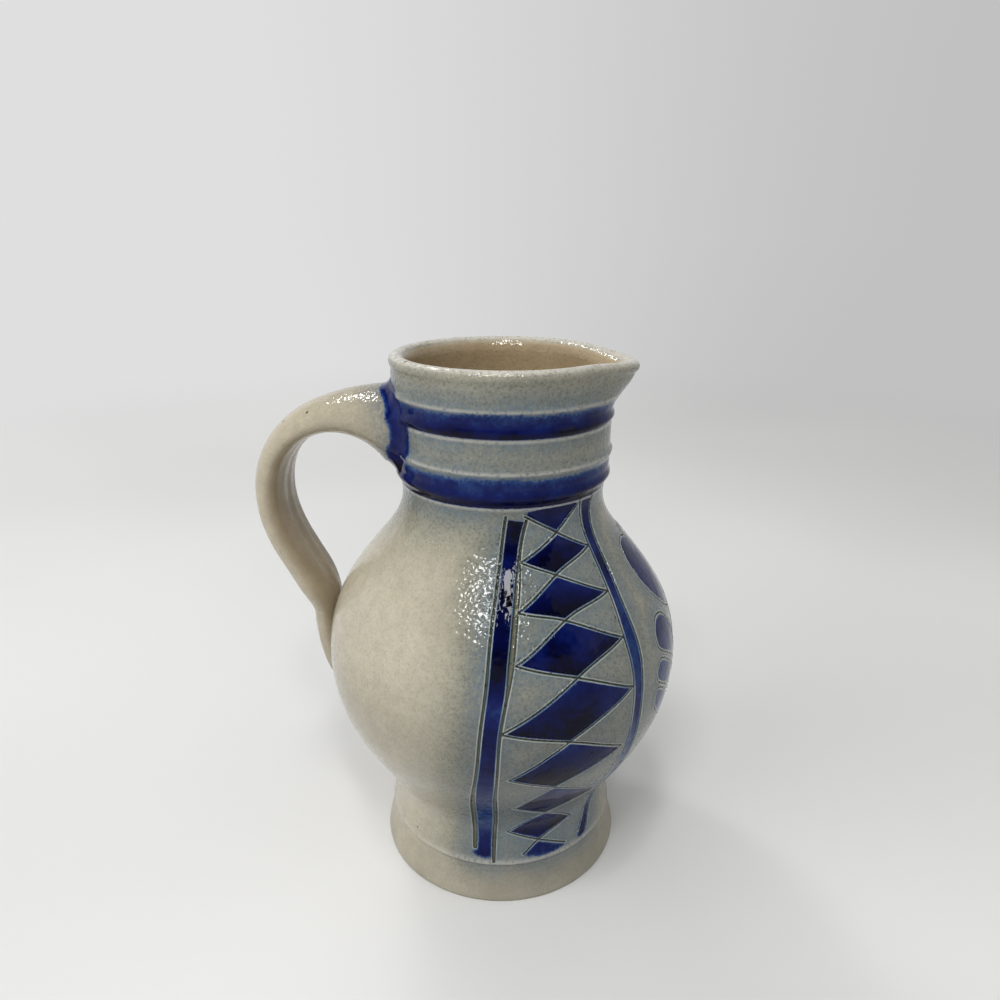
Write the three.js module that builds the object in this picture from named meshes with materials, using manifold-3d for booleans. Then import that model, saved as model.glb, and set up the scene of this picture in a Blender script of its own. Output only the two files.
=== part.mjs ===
// Salt-glazed stoneware pitcher: a thrown body with a pinched spout, and a pulled strap
// handle that is luted to the neck and to the belly. Millimetres, +Z up.
// The origin is the centre of the flat base. The spout points to +X and the handle to -X.

import * as THREE from 'three';
import { mergeVertices } from 'three/addons/utils/BufferGeometryUtils.js';
import Module from 'manifold-3d';

// Driving dimensions of the thrown body, from the foot up
const footRadius = 40.6;          // widest part of the foot, at the base
const footEdge = 0.5;             // worn lower edge of the foot
const footBandRadius = 37.6;      // top of the foot band, under the small ring
const footBandHeight = 13.6;      // height of the foot band
const footRingProud = 0.6;        // how far the small ring stands out
const waistRadius = 37.0;         // narrowest place between foot and belly
const waistAboveBand = 9.4;       // from the foot band up to the waist
const bellyRadius = 56.6;         // widest place of the pitcher
const bellyAboveWaist = 51.0;     // from the waist up to the widest place
const waistCove = 12.0;           // how softly the waist turns into the belly
const bellyLowFullness = 26.0;    // how long the belly stays full below its widest place
const bellyHighFullness = 30.0;   // the same above it
const neckCove = 16.0;            // how softly the shoulder turns into the neck
const neckAboveBelly = 54.0;      // from the widest place up to the neck's narrowest
const neckBaseRadius = 31.3;      // narrowest place of the neck
const neckRadius = 32.8;          // the neck between its ribs
const neckFlareHeight = 10.5;     // from the narrowest place up to the full neck
const neckLength = 42.0;          // from the narrowest place up to the rim's top
const collarRadius = 33.8;        // the collar under the rim
const collarHeight = 17.0;        // from where the neck widens to the collar up to the rim's top
const lipRadius = 34.3;           // outside of the rolled rim
const lipHeight = 6.0;            // how much of the collar the rim takes up
const lipShoulder = 1.8;          // how soon the rim is at its full width
const lipRoll = 2.1;              // rounding of the rim's outer edge

// Driving dimensions of the wall
const bellyWall = 4.6;
const neckWall = 4.1;
const lipThickness = 5.8;
const lipSlope = 4.5;             // how far down the rim's inner edge is eased
const waistWall = 7.4;            // clay left at the waist
const floorThickness = 6.5;
const floorCorner = 5.4;          // rounding between floor and wall

// Driving dimensions of the thrown ribs round the neck
const ribAboveNeckBase = [6.5, 14.0, 24.5, 32.0];
const ribProud = 0.8;             // how far a rib stands out
const ribWidth = 2.4;             // height of a rib on the wall

// Driving dimensions of the pinched spout
const spoutReach = 6.2;           // how far the lip is drawn out
const spoutDip = 1.7;             // how far the drawn lip drops below the rim
const spoutPress = 0.8;           // how far two fingers press the rim in beside the tip
const spoutSwell = 1.4;           // how much thicker the wall is left at the tip
const spoutHalfAngle = 40;        // degrees of the rim on each side that the pinch draws in
const spoutLength = 17.0;         // how far down the neck the pinch reaches
const spoutBlunt = 8;             // degrees over which the tip is rounded
const spoutPinch = 1.8;           // higher draws the lip to a narrower tip

// Driving dimensions of the handle
const strapWidth = 23.0;          // across the strap
const strapThickness = 11.6;      // through the strap
const strapInnerShare = 0.8;      // the hand's side bulges this share of what the outside does
const handleReach = 73.4;         // from the pitcher's axis to the strap's middle, at its widest
const gripAboveBelly = 49.5;      // that widest place, above the belly's widest place
const gripBow = 16.5;             // how long the strap stays upright under its widest place
const rootAboveNeckBase = 19.4;   // from the neck's narrowest place up to the root's middle
const rootWidth = 33.0;           // the root across the neck
const rootHeight = 23.0;          // the root up and down the neck
const rootInnerShare = 1.15;      // the root reaches further down than up
const rootFlareLength = 35.0;     // how far from the wall the flare of the root dies away
const rootDrop = 1.9;             // how far the strap starts below the root's middle
const archLead = 12.0;            // how far the strap leads out of the wall before it arches
const archRise = 8.1;             // how steeply it leads out
const archShoulder = 3.0;         // how square the far shoulder of the arch is
const tailTopAboveBelly = 9.0;    // where the strap lies down along the belly
const tailBend = 11.0;            // how softly it bends there
const tailEndBelowBelly = 21.0;   // where the pressed tail ends below the widest place
const tailWidth = 17.0;           // across the tail
const tailThickness = 9.5;        // through the tail
const tailProud = 6.8;            // how far the tail stands out of the belly
const tailTip = 13.0;             // length of the tail's rounded end
const tailSink = 2.4;             // how deep the middle of that end dips into the wall
const tailTipBlunt = 0.2;         // share of its size that the tail keeps at its very end
const taperLength = 15.0;         // stretch over which the strap narrows to the tail

// Driving dimensions of the joints
const luteThickness = 1.0;        // the soft clay that bonds the handle to the wall
const luteSpread = 1.6;           // how far it squeezes out round the handle
const pieceGap = 0.3;             // clearance between neighbouring solids

// Facets
const roundSteps = 72;
const outsideSteps = 10;
const insideSteps = 6;
const lipSteps = 6;
const handleRings = 52;
const handleSides = 20;

// Heights that follow from the driving dimensions
const waistHeight = footBandHeight + waistAboveBand;
const bellyHeight = waistHeight + bellyAboveWaist;
const neckBaseHeight = bellyHeight + neckAboveBelly;
const rimHeight = neckBaseHeight + neckLength;
const collarTop = rimHeight - lipHeight;

const { clamp, degToRad, lerp, mapLinear, smoothstep } = THREE.MathUtils;
const wasm = await Module();
wasm.setup();

function point(radius, height) {
  return new THREE.Vector2(radius, height);
}

function asSolid(geometry) {
  const bare = geometry.clone();
  bare.deleteAttribute('normal');
  bare.deleteAttribute('uv');
  const merged = mergeVertices(bare, 1e-4);
  return new wasm.Manifold(new wasm.Mesh({
    numProp: 3,
    vertProperties: new Float32Array(merged.attributes.position.array),
    triVerts: new Uint32Array(merged.index.array),
  }));
}

function asGeometry(solid) {
  const mesh = solid.getMesh();
  const geometry = new THREE.BufferGeometry();
  geometry.setAttribute('position', new THREE.BufferAttribute(mesh.vertProperties, 3));
  geometry.setIndex(new THREE.BufferAttribute(mesh.triVerts, 1));
  geometry.computeVertexNormals();
  return geometry;
}

// Points of a smooth arc between two upright tangents, without its first point
function arc(start, startPull, end, endPull, steps) {
  const curve = new THREE.CubicBezierCurve(
    start,
    point(start.x, start.y + startPull),
    point(end.x, end.y - endPull),
    end,
  );
  return curve.getPoints(steps).slice(1);
}

// Outside of the body, from the lower edge of the foot up to the neck's narrowest place
function footAndBelly() {
  const waist = point(waistRadius, waistHeight);
  const widest = point(bellyRadius, bellyHeight);
  const neckBase = point(neckBaseRadius, neckBaseHeight);
  return [
    point(footRadius - footEdge, 0),
    point(footRadius, footEdge),
    point(footBandRadius, footBandHeight - 2 * footRingProud),
    point(footBandRadius + footRingProud, footBandHeight - footRingProud),
    point(footBandRadius + footRingProud / 2, footBandHeight + footRingProud),
    waist,
    ...arc(waist, waistCove, widest, bellyLowFullness, outsideSteps),
    ...arc(widest, bellyHighFullness, neckBase, neckCove, outsideSteps),
  ];
}

// The neck widens above its narrowest place, and again to the collar under the rim
function neckWallRadius(height) {
  const rise = smoothstep(height, neckBaseHeight, neckBaseHeight + neckFlareHeight);
  const collar = smoothstep(height, rimHeight - collarHeight, collarTop);
  return lerp(lerp(neckBaseRadius, neckRadius, rise), collarRadius, collar);
}

function ribPoints(above) {
  const middle = neckBaseHeight + above;
  const low = middle - ribWidth / 2;
  const high = middle + ribWidth / 2;
  return [
    point(neckWallRadius(low), low),
    point(neckWallRadius(middle) + ribProud, middle),
    point(neckWallRadius(high), high),
  ];
}

function rimPoints() {
  const points = [point(collarRadius, collarTop), point(lipRadius, collarTop + lipShoulder)];
  for (let step = 0; step <= lipSteps; step++) {
    const turn = (Math.PI * step) / lipSteps;
    const outer = step < lipSteps / 2;
    const across = outer ? lipRoll : lipThickness - lipRoll;
    const down = outer ? lipRoll : lipSlope;
    points.push(point(
      lipRadius - lipRoll + across * Math.cos(turn),
      rimHeight - down + down * Math.sin(turn),
    ));
  }
  return points;
}

// Inside of the body, from under the rim down to the middle of the floor
function insidePoints() {
  const throat = neckBaseRadius - neckWall;
  const widest = point(bellyRadius - bellyWall, bellyHeight);
  const floorRadius = waistRadius - waistWall - floorCorner;
  return [
    point(lipRadius - lipThickness, collarTop - lipHeight / 2),
    point(throat, neckBaseHeight + neckFlareHeight),
    point(throat, neckBaseHeight),
    ...arc(point(throat, neckBaseHeight), -neckCove, widest, -bellyHighFullness, insideSteps),
    ...arc(widest, -bellyLowFullness, point(waistRadius - waistWall, waistHeight), -waistCove, insideSteps),
    point(waistRadius - waistWall, floorThickness + floorCorner),
    point(waistRadius - waistWall - floorCorner / 3, floorThickness + floorCorner / 3),
    point(floorRadius, floorThickness),
    point(0, floorThickness),
  ];
}

const outsidePoints = [...footAndBelly(), ...ribAboveNeckBase.flatMap(ribPoints), ...rimPoints()];

// Radius of the outside wall at a height, without the spout
function wallRadius(height) {
  for (let index = 1; index < outsidePoints.length; index++) {
    const below = outsidePoints[index - 1];
    const above = outsidePoints[index];
    if (height >= below.y && height < above.y) {
      return mapLinear(height, below.y, above.y, below.x, above.x);
    }
  }
  return lipRadius;
}

// The potter pinches the rim between two fingers and draws it out to the front. The outside
// goes further than the inside, so that the lip stays thick.
function drawSpout(geometry) {
  const positions = geometry.attributes.position;
  const halfAngle = degToRad(spoutHalfAngle);
  const blunt = degToRad(spoutBlunt);
  for (let index = 0; index < positions.count; index++) {
    const x = positions.getX(index);
    const y = positions.getY(index);
    const z = positions.getZ(index);
    const radius = Math.hypot(x, y);
    const rise = smoothstep(z, rimHeight - spoutLength, rimHeight);
    const turn = Math.hypot(Math.atan2(y, x), blunt) - blunt;
    const side = clamp(1 - turn / halfAngle, 0, 1);
    if (side * rise === 0) continue;
    const pull = side ** spoutPinch * rise;
    const press = spoutPress * 4 * side * (1 - side) * rise;
    const inside = 1 - smoothstep(radius, lipRadius - lipThickness, lipRadius - lipRoll);
    const drawn = 1 + ((spoutReach - spoutSwell * inside) * pull - press) / radius;
    positions.setXYZ(index, x * drawn, y * drawn, z - spoutDip * pull);
  }
}

function turned(points) {
  const geometry = new THREE.LatheGeometry(points, roundSteps);
  geometry.rotateX(Math.PI / 2);
  return geometry;
}

function thrownBody() {
  const geometry = turned([point(0, 0), ...outsidePoints, ...insidePoints()]);
  drawSpout(geometry);
  return asSolid(geometry);
}

// A plug of the body's outside, grown by an allowance, that trims what is luted to the wall
function wallPlug(allowance) {
  const grown = [];
  outsidePoints.forEach((here, index) => {
    const before = outsidePoints[Math.max(index - 1, 0)];
    const after = outsidePoints[Math.min(index + 1, outsidePoints.length - 1)];
    const along = after.clone().sub(before).normalize();
    const moved = point(here.x + along.y * allowance, here.y - along.x * allowance);
    if (here.y < collarTop) grown.push(moved);
  });
  const bottom = grown[0];
  const top = grown[grown.length - 1];
  return asSolid(turned([
    point(0, -bellyWall),
    point(bottom.x, -bellyWall),
    ...grown,
    point(top.x, rimHeight),
    point(0, rimHeight),
  ]));
}

// Places on the handle, which follow the wall that carries it
const rootMiddle = neckBaseHeight + rootAboveNeckBase;
const rootRadius = wallRadius(rootMiddle);
const rootDepth = rootRadius - Math.sqrt(rootRadius ** 2 - (rootWidth / 2) ** 2) + neckWall;
const gripHeight = bellyHeight + gripAboveBelly;
const tailTop = bellyHeight + tailTopAboveBelly;
const tailEnd = bellyHeight - tailEndBelowBelly;
const tailLength = tailTop - tailEnd;

// Middle line of the strap: out of the neck's wall, over, down and along the belly
function strapLine() {
  const at = (reach, height) => new THREE.Vector3(-reach, 0, height);
  const tailStand = tailProud - tailThickness / 2;
  const over = new THREE.CubicBezierCurve3(
    at(rootRadius - rootDepth, rootMiddle - rootDrop),
    at(rootRadius + archLead, rootMiddle + archRise),
    at(handleReach, rootMiddle + archShoulder),
    at(handleReach, gripHeight),
  );
  const down = new THREE.CubicBezierCurve3(
    at(handleReach, gripHeight),
    at(handleReach, gripHeight - gripBow),
    at(bellyRadius + tailStand, tailTop + tailBend),
    at(bellyRadius + tailStand, tailTop),
  );
  const along = new THREE.CubicBezierCurve3(
    at(bellyRadius + tailStand, tailTop),
    at(bellyRadius + tailStand, bellyHeight),
    at(wallRadius(tailEnd + tailTip) + tailStand, tailEnd + tailTip),
    at(wallRadius(tailEnd) - tailSink, tailEnd),
  );
  return new THREE.CatmullRomCurve3([
    ...over.getPoints(8),
    ...down.getPoints(6).slice(1),
    ...along.getPoints(5).slice(1),
  ]);
}

// Width, thickness and fullness of the strap at a distance from its start
function strapSection(travelled, length) {
  const left = length - travelled;
  const flare = clamp(1 - (travelled - rootDepth) / rootFlareLength, 0, 1) ** 2;
  const taper = 1 - smoothstep(left, tailLength, tailLength + taperLength);
  const tip = Math.min(1, left / tailTip);
  const round = Math.max(Math.sqrt(1 - (1 - tip) ** 2), tailTipBlunt);
  return {
    width: (lerp(strapWidth, tailWidth, taper) + (rootWidth - strapWidth) * flare) * round,
    thickness: (lerp(strapThickness, tailThickness, taper) + (rootHeight - strapThickness) * flare) * round,
    innerShare: lerp(strapInnerShare, rootInnerShare, flare),
  };
}

// The strap as one closed solid, grown all round by an allowance
function strap(allowance) {
  const line = strapLine();
  const length = line.getLength();
  const across = new THREE.Vector3(0, 1, 0);
  const positions = [];
  const triangles = [];
  const corner = (ring, side) => ring * handleSides + (side % handleSides);
  const last = handleRings - 1;
  for (let ring = 0; ring < handleRings; ring++) {
    const share = ring / last;
    const middle = line.getPointAt(share);
    const outward = new THREE.Vector3().crossVectors(across, line.getTangentAt(share)).normalize();
    const section = strapSection(share * length, length);
    for (let side = 0; side < handleSides; side++) {
      const angle = (2 * Math.PI * side) / handleSides;
      const aside = Math.cos(angle) * (section.width / 2 + allowance);
      const through = Math.sin(angle) * (section.thickness / 2 + allowance);
      const place = middle.clone().addScaledVector(across, aside);
      place.addScaledVector(outward, through < 0 ? through * section.innerShare : through);
      positions.push(place.x, place.y, place.z);
    }
  }
  for (let ring = 0; ring < last; ring++) {
    for (let side = 0; side < handleSides; side++) {
      triangles.push(corner(ring, side), corner(ring + 1, side), corner(ring, side + 1));
      triangles.push(corner(ring, side + 1), corner(ring + 1, side), corner(ring + 1, side + 1));
    }
  }
  for (let side = 1; side + 1 < handleSides; side++) {
    triangles.push(corner(0, 0), corner(0, side), corner(0, side + 1));
    triangles.push(corner(last, 0), corner(last, side + 1), corner(last, side));
  }
  const geometry = new THREE.BufferGeometry();
  geometry.setAttribute('position', new THREE.Float32BufferAttribute(positions, 3));
  geometry.setIndex(triangles);
  return asSolid(geometry);
}

// A block that takes in everything between two heights on the handle's side
function handleSideBlock(low, high) {
  const reach = handleReach + strapWidth;
  const geometry = new THREE.BoxGeometry(reach, 2 * bellyRadius, high - low);
  geometry.translate(-reach / 2, 0, (low + high) / 2);
  return asSolid(geometry);
}

// The strap stops short of the wall, and a thin pad of clay fills the rest at each end
const handle = strap(0).subtract(wallPlug(pieceGap + luteThickness + pieceGap));
const luteSkin = strap(luteSpread).intersect(wallPlug(pieceGap + luteThickness)).subtract(wallPlug(pieceGap));
const upperLute = luteSkin.intersect(handleSideBlock(neckBaseHeight, rimHeight));
const lowerLute = luteSkin.intersect(handleSideBlock(0, neckBaseHeight));

function stoneware(colour, roughness) {
  return new THREE.MeshStandardMaterial({ color: new THREE.Color(colour), roughness, metalness: 0 });
}

const pieces = [
  ['thrown_body', thrownBody(), stoneware('#a9a799', 0.35)],
  ['pulled_handle', handle, stoneware('#aba38f', 0.4)],
  ['upper_handle_lute', upperLute, stoneware('#26306a', 0.3)],
  ['lower_handle_lute', lowerLute, stoneware('#a59d8a', 0.45)],
];

const pitcher = new THREE.Group();
for (const [name, solid, material] of pieces) {
  const mesh = new THREE.Mesh(asGeometry(solid), material);
  mesh.name = name;
  pitcher.add(mesh);
}

export default pitcher;
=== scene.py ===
import math

import bmesh
import bpy
import numpy as np
from mathutils import Matrix, Vector, noise
from mathutils.bvhtree import BVHTree
from mathutils.kdtree import KDTree


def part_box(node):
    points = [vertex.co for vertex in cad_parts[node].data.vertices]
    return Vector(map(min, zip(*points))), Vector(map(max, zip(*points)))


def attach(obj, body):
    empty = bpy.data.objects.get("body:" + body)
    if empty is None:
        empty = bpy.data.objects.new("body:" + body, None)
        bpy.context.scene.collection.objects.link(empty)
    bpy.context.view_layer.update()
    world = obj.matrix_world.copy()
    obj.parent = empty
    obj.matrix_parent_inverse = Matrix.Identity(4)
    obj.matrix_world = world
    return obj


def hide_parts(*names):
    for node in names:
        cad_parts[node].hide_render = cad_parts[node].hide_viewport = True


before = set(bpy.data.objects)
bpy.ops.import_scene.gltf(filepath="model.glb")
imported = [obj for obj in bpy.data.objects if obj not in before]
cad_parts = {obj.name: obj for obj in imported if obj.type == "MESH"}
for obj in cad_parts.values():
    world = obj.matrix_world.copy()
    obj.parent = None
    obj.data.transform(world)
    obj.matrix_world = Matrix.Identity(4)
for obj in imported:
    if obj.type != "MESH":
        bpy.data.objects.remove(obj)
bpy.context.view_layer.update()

# Every length below is in millimetres and every angle in degrees. Finished pieces are scaled to
# metres. Azimuths are counted round the pitcher's axis: 0 at the spout, 180 at the handle.
MM = 0.001

body_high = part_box("thrown_body")[1]
RIM_HEIGHT = body_high.z / MM
BELLY_RADIUS = body_high.y / MM

# Foot and belly
FOOT_RADIUS = 40.6
FOOT_EDGE = 0.7
FOOT_BAND_RADIUS = 37.6
FOOT_BAND_HEIGHT = 13.6
FOOT_RING_PROUD = 0.75
WAIST_RADIUS = 37.0
WAIST_HEIGHT = 23.0
BELLY_HEIGHT = 74.0
WAIST_COVE = 12.0
BELLY_LOW_FULLNESS = 26.0
BELLY_HIGH_FULLNESS = 30.0
NECK_COVE = 16.0
BODY_UNEVENNESS = 0.1

# Neck, ribs and rim
NECK_BASE_HEIGHT = RIM_HEIGHT - 42.0
NECK_BASE_RADIUS = 31.3
NECK_RADIUS = 32.8
NECK_FLARE_HEIGHT = 10.5
COLLAR_RADIUS = 33.8
COLLAR_HEIGHT = 17.0
COLLAR_TOP = RIM_HEIGHT - 6.0
LIP_RADIUS = 34.3
LIP_SHOULDER = 1.08
LIP_ROLL = 2.1
LIP_SLOPE = 4.5
LIP_THICKNESS = 5.8
RIBS = [  # height above the neck's base, how far it stands out, its reach up and down
    (6.4, 0.9, 2.0, 1.5),
    (13.8, 0.75, 1.2, 1.5),
    (24.7, 0.85, 1.9, 1.2),
    (31.3, 0.7, 1.0, 1.6),
]

# Inside of the wall
BELLY_WALL = 4.6
NECK_WALL = 4.1
WAIST_WALL = 7.4
FLOOR_THICKNESS = 6.5
FLOOR_CORNER = 5.4
THROWING_PITCH = 5.5
THROWING_DEPTH = 0.22
THROWING_START = (8.0, 20.0)
THROAT_TOP = RIM_HEIGHT - 8.5
THROAT_PULL = 9.0
LIP_FOOT = 2.0

# Pinched spout
SPOUT_REACH = 6.2
SPOUT_DIP = 1.7
SPOUT_PRESS = 0.8
SPOUT_SWELL = 1.4
SPOUT_HALF_ANGLE = 40.0
SPOUT_LENGTH = 17.0
SPOUT_BLUNT = 8.0
SPOUT_PINCH = 1.8
RIB_FADE = 0.25  # share of the spout's rise over which the ribs under it fade

# Strap handle
STRAP_WIDTH = 23.0
STRAP_THICKNESS = 11.6
STRAP_INNER_SHARE = 0.8
HAND_HOLLOW = 1.1
PULL_MARK_DEPTH = 0.11
PULL_MARK_TURNS = 11.5
HANDLE_UNEVENNESS = 0.25
HANDLE_REACH = 73.4
GRIP_HEIGHT = BELLY_HEIGHT + 49.5
GRIP_BOW = 16.5
ROOT_HEIGHT = NECK_BASE_HEIGHT + 19.4
ROOT_WIDTH = 33.0
ROOT_TALL = 23.0
ROOT_INNER_SHARE = 1.15
ROOT_FLARE_LENGTH = 35.0
ROOT_DROP = 1.9
ARCH_LEAD = 12.0
ARCH_RISE = 8.1
ARCH_SHOULDER = 3.0
TAIL_TOP = BELLY_HEIGHT + 9.0
TAIL_END = BELLY_HEIGHT - 21.0
TAIL_BEND = 11.0
TAIL_WIDTH = 17.0
TAIL_THICKNESS = 9.5
TAIL_PROUD = 6.8
TAIL_TIP = 13.0
TAIL_SINK = 2.4
TAPER_LENGTH = 15.0
HIDDEN_DEPTH = 1.6
ROOT_FILLET = 4.2
TAIL_FILLET = 1.1
LUTE_OVERLAP = 0.06
LUTE_FULLNESS = 0.12
LUTE_DEPTH_IN_WALL = 0.8
LUTE_DEPTH_IN_STRAP = 0.7

# Cobalt on the neck and round the handle's root
BANDS = [(3.6, 12.2), (23.5, 30.3)]  # lower and upper edge, above the neck's base
# Thin, pale glaze on the ribs' crests, with a painted highlight along them
PALE_AND_HIGHLIGHT_LINES = [(3.1, 0.35), (13.7, 0.4), (22.9, 0.35), (31.3, 0.4)]  # height in the neck, half width
NO_COBALT = -30.0
COBALT_REACH = 26.0
ROOT_BLUE_ON_WALL = 6.0
ROOT_BLUE_ON_HANDLE = 3.4

# Incised lines
THIN_LINE = 0.24
PLANT_LINE = 0.26
LINE_SHAKE = 0.16
FIELD_MARGIN = 0.42
STRIPE_MARGIN = 0.6
PLANT_MARGIN = 0.8
GROOVE_DEPTH = 0.38
BURR_HEIGHT = 0.17
BURR_OFFSET = 0.21
BURR_FOOT = 0.43
BURR_ROUGHNESS = 0.35
FAR_FROM_LINES = 9.0

# Fineness of the meshes
ROUND_STEPS = 198
HANDLE_SIDES = 128
ROOT_FINE_LENGTH = 26.0
ROW_STEP = 1.6
LINE_STEP = 0.15
FINE_REACH = (1.2, 0.95)


def bezier(start, start_pull, end, end_pull, steps):
    """Points of a smooth arc between two upright tangents, as rows of radius and height."""
    t = np.linspace(0, 1, steps + 1)[:, None]
    start, end = np.array(start, float), np.array(end, float)
    return cubic(start, start + (0, start_pull), end - (0, end_pull), end, t)


def cubic(a, b, c, d, t):
    return (1 - t) ** 3 * a + 3 * (1 - t) ** 2 * t * b + 3 * (1 - t) * t * t * c + t ** 3 * d


def walked_along(points):
    """How far each point of a curve lies from its start, along it."""
    steps = np.linalg.norm(np.diff(points, axis=0), axis=1)
    return np.concatenate([[0], np.cumsum(steps)])


def between(wanted, known, rows):
    """Rows of points read off at wanted places along them."""
    return np.stack([np.interp(wanted, known, column) for column in rows.T], axis=-1)


def evenly(points, steps):
    """The same curve in steps of equal length."""
    walked = walked_along(points)
    return between(np.linspace(0, walked[-1], steps + 1), walked, points)


def smoothstep(value, low, high):
    share = np.clip((value - low) / (high - low), 0, 1)
    return share * share * (3 - 2 * share)


def lerp(a, b, share):
    return a + (b - a) * share


def hump(share):
    """0 at both ends of a share and 1 in its middle."""
    return 4 * share * (1 - share)


def unit(rows):
    return rows / np.maximum(np.linalg.norm(rows, axis=-1, keepdims=True), 1e-9)


def dot(a, b):
    return (a * b).sum(axis=-1, keepdims=True)


def from_axis(points):
    """How far points lie from the pitcher's axis."""
    return np.hypot(points[..., 0], points[..., 1])


def azimuth_of(points):
    return np.degrees(np.arctan2(points[:, 1], points[:, 0]))


def push_out(points, amounts):
    """Moves points level, away from the axis."""
    pushed = points.copy()
    pushed[:, :2] *= (1 + amounts / np.maximum(from_axis(points), 1))[:, None]
    return pushed


# The thrown body's profile


def rib_proud(height):
    """How far the thrown ribs stand out of the neck."""
    total = np.zeros_like(height)
    for above, proud, up, down in RIBS:
        offset = height - NECK_BASE_HEIGHT - above
        reach = np.where(offset > 0, up, down)
        total = total + proud * np.clip(1 - (offset / reach) ** 2, 0, 1) ** 1.4
    return total


def neck_radius(height):
    rise = smoothstep(height, NECK_BASE_HEIGHT, NECK_BASE_HEIGHT + NECK_FLARE_HEIGHT)
    collar = smoothstep(height, RIM_HEIGHT - COLLAR_HEIGHT, COLLAR_TOP)
    plain = lerp(lerp(NECK_BASE_RADIUS, NECK_RADIUS, rise), COLLAR_RADIUS, collar)
    return plain + rib_proud(height)


def foot_points():
    """The foot's slanted band and the small ring that closes it off."""
    ring = FOOT_BAND_HEIGHT
    shape = [(-1.4, 0.2), (-0.9, 0.8), (-0.4, 1.0), (0.1, 0.85), (0.8, 0.45), (1.8, 0.15)]
    return [
        (FOOT_RADIUS - FOOT_EDGE, 0),
        (FOOT_RADIUS - FOOT_EDGE * 0.3, FOOT_EDGE * 0.3),
        (FOOT_RADIUS - FOOT_EDGE * 0.1, FOOT_EDGE * 1.3),
        *zip(np.linspace(FOOT_RADIUS - 0.3, FOOT_BAND_RADIUS, 5), np.linspace(2.3, ring - 2.1, 5)),
        *((FOOT_BAND_RADIUS + share * FOOT_RING_PROUD, ring + above) for above, share in shape),
    ]


def outside_points():
    """The outside, from the lower edge of the foot to the top of the rim."""
    waist = (WAIST_RADIUS, WAIST_HEIGHT)
    widest = (BELLY_RADIUS, BELLY_HEIGHT)
    neck_base = (NECK_BASE_RADIUS, NECK_BASE_HEIGHT)
    foot = foot_points()
    cove = bezier(foot[-1], 2.0, waist, 3.0, 5)
    low = evenly(bezier(waist, WAIST_COVE, widest, BELLY_LOW_FULLNESS, 400), 37)
    high = evenly(bezier(widest, BELLY_HIGH_FULLNESS, neck_base, NECK_COVE, 400), 40)
    heights = np.linspace(NECK_BASE_HEIGHT, COLLAR_TOP, 45)
    neck = np.column_stack([neck_radius(heights), heights])
    turn = np.linspace(-0.25, 1, 14) * math.pi
    outer = turn < math.pi / 2
    down = np.where(outer, LIP_ROLL, LIP_SLOPE)
    lip = np.column_stack([
        LIP_RADIUS - LIP_ROLL + np.where(outer, LIP_ROLL, LIP_THICKNESS - LIP_ROLL) * np.cos(turn),
        RIM_HEIGHT - down + down * np.sin(turn),
    ])
    shoulder = (COLLAR_RADIUS, COLLAR_TOP + LIP_SHOULDER)
    return np.vstack([foot, cove[1:], low[1:], high[1:], neck[1:], shoulder, lip])


def inside_points():
    """The inside, from under the rim to the middle of the floor, with faint throwing rings."""
    throat = NECK_BASE_RADIUS - NECK_WALL
    widest = (BELLY_RADIUS - BELLY_WALL, BELLY_HEIGHT)
    waist = WAIST_RADIUS - WAIST_WALL
    lip_inside = LIP_RADIUS - LIP_THICKNESS
    neck_base = (throat, NECK_BASE_HEIGHT)
    mouth = bezier((lip_inside, THROAT_TOP), -THROAT_PULL, neck_base, -THROAT_PULL, 15)
    high = bezier(neck_base, -NECK_COVE, widest, -BELLY_HIGH_FULLNESS, 12)
    low = bezier(widest, -BELLY_LOW_FULLNESS, (waist, WAIST_HEIGHT), -WAIST_COVE, 10)
    turn = np.linspace(0, math.pi / 2, 5)
    corner = np.column_stack([
        waist - FLOOR_CORNER + FLOOR_CORNER * np.cos(turn),
        FLOOR_THICKNESS + FLOOR_CORNER - FLOOR_CORNER * np.sin(turn),
    ])
    floor = np.column_stack([
        np.linspace(waist - FLOOR_CORNER, 0, 5)[1:],
        np.full(4, FLOOR_THICKNESS),
    ])
    wall = np.vstack([(lip_inside, RIM_HEIGHT - LIP_SLOPE - LIP_FOOT), mouth, high[1:], low[1:]])
    wave = np.sin(2 * math.pi * wall[:, 1] / THROWING_PITCH)
    wall[:, 0] += THROWING_DEPTH * wave * smoothstep(RIM_HEIGHT - wall[:, 1], *THROWING_START)
    return np.vstack([wall, corner, floor])


OUTSIDE = outside_points()
WALL = OUTSIDE[OUTSIDE[:, 1] < COLLAR_TOP]


def wall_radius(height):
    return np.interp(height, WALL[:, 1], WALL[:, 0])


def wall_slope(height):
    """How fast the wall's radius grows with height."""
    return (wall_radius(height + 0.3) - wall_radius(height - 0.3)) / 0.6


def on_wall(azimuth, height):
    radius, turn = wall_radius(height), np.radians(azimuth)
    return np.column_stack([radius * np.cos(turn), radius * np.sin(turn), height])


def settle_on_wall(points, depth=0.0):
    """Moves points level to the wall, or to a depth inside it."""
    return push_out(points, wall_radius(points[:, 2]) - depth - from_axis(points))


def wall_normals(points):
    radial = unit(points[:, :2])
    return unit(np.column_stack([radial, -wall_slope(points[:, 2])]))


def wall_distance(points):
    """How far points lie outside the wall, below zero inside it."""
    height = points[..., 2]
    return (from_axis(points) - wall_radius(height)) / np.hypot(1, wall_slope(height))


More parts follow.
